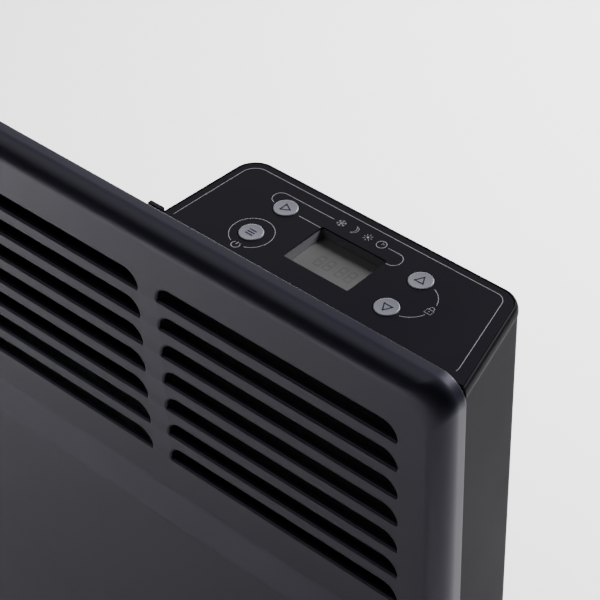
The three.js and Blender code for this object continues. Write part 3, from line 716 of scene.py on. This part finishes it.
# ---- keys ---------------------------------------------------------------------------------------
def key_cap(name, x, y):
    """Turned key, from the bottom up: plunger, retaining collar, rounded edge and dished top."""
    plunger = 2
    collar = BUTTON_RADIUS + 1.2
    collar_bottom = BOX_TOP - 4.6
    collar_top = BOX_TOP - 3.4
    profile = [
        (plunger, BOX_TOP - 7.4), (plunger, collar_bottom), (collar, collar_bottom),
        (collar, collar_top), (BUTTON_RADIUS, collar_top), (BUTTON_RADIUS, BUTTON_TOP - 0.55),
    ]
    fillet = 0.5
    steps = 6
    for k in range(1, steps + 1):
        angle = math.pi / 2 * k / steps
        radius = BUTTON_RADIUS - fillet * (1 - math.cos(angle))
        profile.append((radius, BUTTON_TOP - fillet * (1 - math.sin(angle))))
    profile += [
        (BUTTON_RADIUS - 1.0, BUTTON_TOP - 0.06),
        (BUTTON_RADIUS - 2.4, BUTTON_TOP - 0.12),
        (1.6, BUTTON_TOP - 0.15),
    ]
    return solid(name, [at_z(circle(x, y, radius, 64), z) for radius, z in profile])


def frame_outline(points, thick):
    """Bars along the edges of a closed polygon, as separate outlines."""
    out = []
    count = len(points)
    for k in range(count):
        a = Vector(points[k])
        b = Vector(points[(k + 1) % count])
        along = (b - a).normalized() * thick / 2
        across = Vector((-along.y, along.x))
        ends = [a - along - across, b + along - across, b + along + across, a - along + across]
        out.append([tuple(p) for p in ends])
    return out


def triangle(x, y, size, heading):
    turns = [heading + math.radians(120) * k for k in range(3)]
    return [(x + size * math.cos(a), y + size * math.sin(a)) for a in turns]


def key_marks(key, x, y):
    """Three bars on the menu key, an arrow triangle on each of the others."""
    if key != "menu":
        return frame_outline(triangle(x, y, 2.6, HEADINGS[key]), 0.6)
    length = 4.2
    half = 0.3
    return [rectangle(x - length / 2, x + length / 2, y + row - half, y + row + half, 0.28, 3)
            for row in (-1.5, 0, 1.5)]


HEADINGS = {"mode": 0.0, "up": math.pi / 2, "down": -math.pi / 2}
for key, (key_x, key_y) in BUTTONS.items():
    body = "key_" + key
    place(key_cap("cap_" + key, key_x, key_y), KEY, ["button_" + key], body)
    marks = raised("mark_" + key, key_marks(key, key_x, key_y), BUTTON_TOP - 0.2, 0.12)
    place(marks, KEY_PRINT, body=body)


# ---- printing on the label ----------------------------------------------------------------------
LINE = 0.27                    # widths of the printed lines
BOLD_LINE = 0.34
SYMBOL_LINE = 0.22
FINE_LINE = 0.16
BORDER_CORNERS = ((149.4, -20.7, 4.5), (310.1, -20.7, 5.5), (295.6, 32.5, 5.5), (152.3, 32.7, 7.5))
MENU_RING = (185.0, -4.15, 10.15)          # arcs: centre and radius
MODE_LOOP = (178.3, 22.0, 4.0)
BACK_LOOP = (243.5, 21.65, 4.25)
ARROW_LOOP = (265.5, 6.3, 11.9)
POWER_PLACE = (185.0, -14.5)
LOCK_PLACE = (276.9, 5.7)
SNOW_PLACE = (210.3, 26.0)
MOON_PLACE = (217.9, 26.1)
SUN_PLACE = (225.6, 25.9)
CLOCK_PLACE = (233.3, 25.9)


def stroke(points, thick, closed=False):
    """Left and right edges of a flat ribbon of a given width along a polyline."""
    pts = [Vector(p) for p in points]
    count = len(pts)
    left = []
    right = []
    for k, p in enumerate(pts):
        before = pts[k - 1] if (k or closed) else p
        after = pts[(k + 1) % count] if (k + 1 < count or closed) else p
        along = (after - before).normalized()
        across = Vector((-along.y, along.x)) * thick / 2
        left.append(tuple(p + across))
        right.append(tuple(p - across))
    return left, right


class Print:
    """Collects thin ribbons and plates into one raised print."""

    def __init__(self, z, height):
        self.skin = Skin()
        self.z = z
        self.height = height

    def plate(self, outline):
        self.skin.solid([at_z(outline, self.z), at_z(outline, self.z + self.height)])

    def line(self, points, thick=LINE):
        left, right = stroke(points, thick)
        self.plate(right + left[::-1])

    def loop(self, points, thick=LINE):
        left, right = stroke(points, thick, True)
        top = self.z + self.height
        section = ((left, self.z), (left, top), (right, top), (right, self.z))
        rings = [self.skin.ring(at_z(side, z)) for side, z in section]
        for k in range(4):
            self.skin.band(rings[k], rings[(k + 1) % 4])


def arc(x, y, radius, start, end, steps=24):
    out = []
    for k in range(steps + 1):
        a = math.radians(start + (end - start) * k / steps)
        out.append((x + radius * math.cos(a), y + radius * math.sin(a)))
    return out


def label_print():
    ink = Print(LABEL_TOP - PRINT_SINK, 0.04)
    ink.line(border_line())

    # Ring round the menu key, open at the front where the power symbol sits.
    ink.line(arc(*MENU_RING, -68, 250, 64))
    power_symbol(ink, *POWER_PLACE)

    # Loop from the mode key round the back symbols.
    ink.line(arc(*MODE_LOOP, 262, 90, 20) + [(206.2, 26.0)])
    ink.line([(192.6, 17.8), (205.4, 17.7)])
    ink.line([(237.2, 25.9)] + arc(*BACK_LOOP, 90, -98, 28))

    # Loop between the two right keys, with the lock in its opening.
    ink.line(arc(*ARROW_LOOP, 70, 18, 16))
    ink.line(arc(*ARROW_LOOP, -19, -72, 18))
    lock_symbol(ink, *LOCK_PLACE)
    snow_symbol(ink, *SNOW_PLACE)
    moon_symbol(ink, *MOON_PLACE)
    sun_symbol(ink, *SUN_PLACE)
    clock_symbol(ink, *CLOCK_PLACE)
    return ink.skin.piece("fascia_print")


def border_line():
    """Outline just inside the label's edge; its front run lies behind the panel and is left open."""
    steps = 12
    loop = rounded(BORDER_CORNERS, steps)
    return loop[2 * steps - 2:] + loop[:2]


def power_symbol(ink, x, y):
    ink.line(arc(x, y, 2.0, 128, 412, 28), BOLD_LINE)
    ink.line([(x, y + 0.1), (x, y + 2.1)], BOLD_LINE)


def snow_symbol(ink, x, y):
    """Three crossed arms, each with a small fork towards both ends."""
    reach = 2.3
    hub_distance = 1.35
    prong = 0.95
    for k in range(3):
        a = math.radians(90 + 60 * k)
        arm = Vector((math.cos(a), math.sin(a)))
        ink.line([(x - reach * arm.x, y - reach * arm.y), (x + reach * arm.x, y + reach * arm.y)],
                 SYMBOL_LINE)
        for sign in (-1, 1):
            hub = Vector((x, y)) + arm * sign * hub_distance
            for side in (-1, 1):
                fork = Vector((math.cos(a + side * 0.8), math.sin(a + side * 0.8)))
                ink.line([tuple(hub), tuple(hub + fork * sign * prong)], FINE_LINE)


def moon_symbol(ink, x, y):
    outer = arc(x - 0.9, y, 2.5, -82, 82, 18)
    inner = arc(x - 2.3, y, 2.9, 56, -56, 16)
    ink.loop(outer + inner, 0.2)


def sun_symbol(ink, x, y):
    ink.plate(circle(x, y, 0.55, 20))
    for k in range(8):
        a = math.radians(45 * k)
        ink.line([(x + r * math.cos(a), y + r * math.sin(a)) for r in (1.3, 2.3)], SYMBOL_LINE)


def clock_symbol(ink, x, y):
    ink.loop(circle(x, y, 2.35, 32), 0.28)
    ink.line([(x, y + 1.6), (x, y), (x + 1.3, y + 0.9)], SYMBOL_LINE)


def lock_symbol(ink, x, y):
    width = 0.26
    top = y + 0.5
    shackle = 1.1
    ink.loop([(x - 1.7, y - 2.1), (x + 1.7, y - 2.1), (x + 1.7, top), (x - 1.7, top)], width)
    ink.line([(x - shackle, top)] + arc(x, y + 1.2, shackle, 180, 0, 12) + [(x + shackle, top)], width)
    ink.plate(circle(x, y - 0.8, 0.3, 12))


place(label_print(), PRINT)


# ---- casing, feet and fittings ------------------------------------------------------------------
for node, material, slot, radius in (
    ("rear_casing", CASING, "casing_paint", 0.25),
    ("side_cheek_left", CASING, "casing_paint", 0.25),
    ("side_cheek_right", CASING, "casing_paint", 0.25),
    ("bottom_grille", CASING, "casing_paint", 0.2),
    ("control_bay", CASING, "casing_paint", 0.2),
    ("foot_left", FOOT, "foot_plastic", 1.0),
    ("foot_right", FOOT, "foot_plastic", 1.0),
    ("foot_pad_left_front", RUBBER, "rubber", 0.5),
    ("foot_pad_left_back", RUBBER, "rubber", 0.5),
    ("foot_pad_right_front", RUBBER, "rubber", 0.5),
    ("foot_pad_right_back", RUBBER, "rubber", 0.5),
    ("cable_gland", RUBBER, "rubber", 0.3),
):
    place(softened(node, radius), material, [node])


def seam_flange(side):
    """Folded edge of a side cheek, lying behind the seam with the rear casing."""
    width = 9
    near = CASING_SHEET + 0.15
    far = near + CASING_SHEET
    path = [(BACK_Y, CASING_BOTTOM + 1.5)]
    if side < 0:
        # The left seam follows the hood; the right one ends below the control housing.
        top = HOOD_HIGH - 8
        share = (top - HOOD_LOW) / (HOOD_HIGH - HOOD_LOW)
        path += [(BACK_Y, HOOD_LOW - 0.6), (BACK_Y + (FLANGE_Y - BACK_Y) * share, top)]
    else:
        path += [(BACK_Y, BOX_BOTTOM - 4)]
    sections = []
    for y, z in path:
        taper = SIDE_TAPER * (y - FLANGE_Y) / (BACK_Y - FLANGE_Y)
        outer = side * (WIDTH / 2 - SHEET - GAP - CASING_SHEET / 2 - taper)
        inner = outer - side * width
        sections.append([
            (outer, y - near, z), (inner, y - near, z), (inner, y - far, z), (outer, y - far, z)])
    return solid("seam_flange", sections)


def hanger_pocket(x, z):
    """Shallow pressed pocket behind one wall-hanging slot."""
    wide = 17.5
    high = 6
    depth = 6
    corner = 2.5
    front = BACK_Y - CASING_SHEET - 0.1
    floor_y = front - depth + CASING_SHEET
    outer = rectangle(x - wide, x + wide, z - high, z + high, corner, 4)
    wide -= CASING_SHEET
    high -= CASING_SHEET
    inner = rectangle(x - wide, x + wide, z - high, z + high, corner - CASING_SHEET, 4)
    return solid("hanger_pocket", [
        at_y(inner, floor_y), at_y(inner, front), at_y(outer, front), at_y(outer, front - depth)])


def side_gasket():
    """Foam strip that closes the slit between the panel flange and the control housing."""
    thick = 2.7
    right = WIDTH / 2 - SHEET - GAP
    plan = rectangle(right - thick, right, FLANGE_Y - 4, FLANGE_Y + 0.2, 0.8, 4)
    return solid("side_gasket", [at_z(plan, BOX_BOTTOM + 1), at_z(plan, PANEL_TOP - OUTER_CORNER - 2)])


for side in (-1, 1):
    place(seam_flange(side), CASING)
place(side_gasket(), RUBBER)
for hanger_x, hanger_z in HANGER_SLOTS:
    place(hanger_pocket(hanger_x, hanger_z), CASING)

# The heat shield takes the painted-shade black so that the louvres look dark inside.
CARRIED = {
    "heat_shield": LOUVRE_SHADE_BLACK, "rear_shield": STEEL, "housing_base": PLASTIC, "control_board": BOARD,
    "power_board": BOARD, "relay": BLACK, "transformer": PALE, "capacitor": ALUMINIUM,
    "triac_heatsink": ALUMINIUM, "terminal_block": PALE, "ribbon_cable": PALE, "ntc_sensor": BLACK,
    "element_fins": ALUMINIUM, "element_rod": ROD, "thermal_cutout": BLACK, "tilt_switch": BLACK,
    "element_wire_live": SLEEVE, "element_wire_neutral": SLEEVE,
}
for side in ("left", "right"):
    CARRIED["element_bracket_" + side] = STEEL
    CARRIED["element_bush_" + side] = CERAMIC
    CARRIED["element_terminal_" + side] = STEEL
    CARRIED["foot_nut_plate_" + side] = STEEL
    CARRIED["foot_screw_" + side] = SCREW
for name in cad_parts:
    if name.startswith("switch_"):
        CARRIED[name] = BLACK
    if name.startswith(("panel_screw_", "ear_screw_")):
        CARRIED[name] = SCREW
for name, material in CARRIED.items():
    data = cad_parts[name].data
    data.materials.clear()
    data.materials.append(material)


# ---- stage --------------------------------------------------------------------------------------
def stage_floor():
    """A wide floor that fills the camera's view."""
    half = 6000
    mesh = bmesh.new()
    corners = [(-half, -half), (half, -half), (half, half), (-half, half)]
    mesh.faces.new([mesh.verts.new(Vector((x, y, 0)) * MM) for x, y in corners])
    return finished("floor", mesh, 35)


floor = stage_floor()
floor.data.materials.append(surface("pale_floor", (0.86, 0.86, 0.87), 0.6, grain=300, relief=0.01,
                                    mottle=0.01))


def area_light(name, at, aim, size, power, spread):
    data = bpy.data.lights.new(name, "AREA")
    data.shape = "RECTANGLE"
    data.size, data.size_y = size
    data.energy = power
    data.spread = math.radians(spread)
    lamp = bpy.data.objects.new(name, data)
    lamp.location = at
    lamp.rotation_euler = (Vector(aim) - Vector(at)).to_track_quat("-Z", "Y").to_euler()
    bpy.context.scene.collection.objects.link(lamp)


def studio_world(strength):
    world = bpy.data.worlds.new("studio")
    world.use_nodes = True
    background = world.node_tree.nodes["Background"]
    background.inputs["Color"].default_value = (1, 1, 1, 1)
    background.inputs["Strength"].default_value = strength
    bpy.context.scene.world = world


studio_world(0.06)
area_light("background", at=(0.4, 1.9, 1.5), aim=(-0.1, 0.6, 0), size=(1.2, 1.0), power=50, spread=76)
area_light("left_floor", at=(-0.9, -1.5, 1.6), aim=(-0.65, -0.85, 0), size=(1.3, 0.6), power=15,
           spread=52)
area_light("overhead", at=(-0.95, -0.3, 2.0), aim=(0, 0, 0.44), size=(1.6, 1.6), power=3.2, spread=90)
area_light("rim", at=(-1.7, 1.9, 0.9), aim=(-0.2, 0, 0.44), size=(1.2, 0.5), power=12, spread=120)
area_light("right_floor", at=(1.3, 0.75, 1.6), aim=(1.05, 0.50, 0), size=(0.5, 0.5), power=6,
           spread=64)


# ---- camera -------------------------------------------------------------------------------------
def camera():
    """Looks down at the control corner from the front right."""
    station = Vector((706.0, -528.0, 1023.9)) * MM
    yaw = math.radians(42.89)
    pitch = math.radians(41.05)
    roll = math.radians(1.70)
    level = math.cos(pitch)
    forward = Vector((-math.sin(yaw) * level, math.cos(yaw) * level, -math.sin(pitch)))
    right = Vector((math.cos(yaw), math.sin(yaw), 0))
    down = forward.cross(right)
    right_rolled = math.cos(roll) * right + math.sin(roll) * down
    down_rolled = -math.sin(roll) * right + math.cos(roll) * down
    turn = Matrix((right_rolled, -down_rolled, -forward)).transposed()
    data = bpy.data.cameras.new("camera")
    data.sensor_width = 36
    data.lens = 130.6
    data.shift_x = -0.0211
    data.shift_y = 0.0395
    data.clip_start = 0.01
    view = bpy.data.objects.new("camera", data)
    view.matrix_world = Matrix.Translation(station) @ turn.to_4x4()
    bpy.context.scene.collection.objects.link(view)
    bpy.context.scene.camera = view


camera()
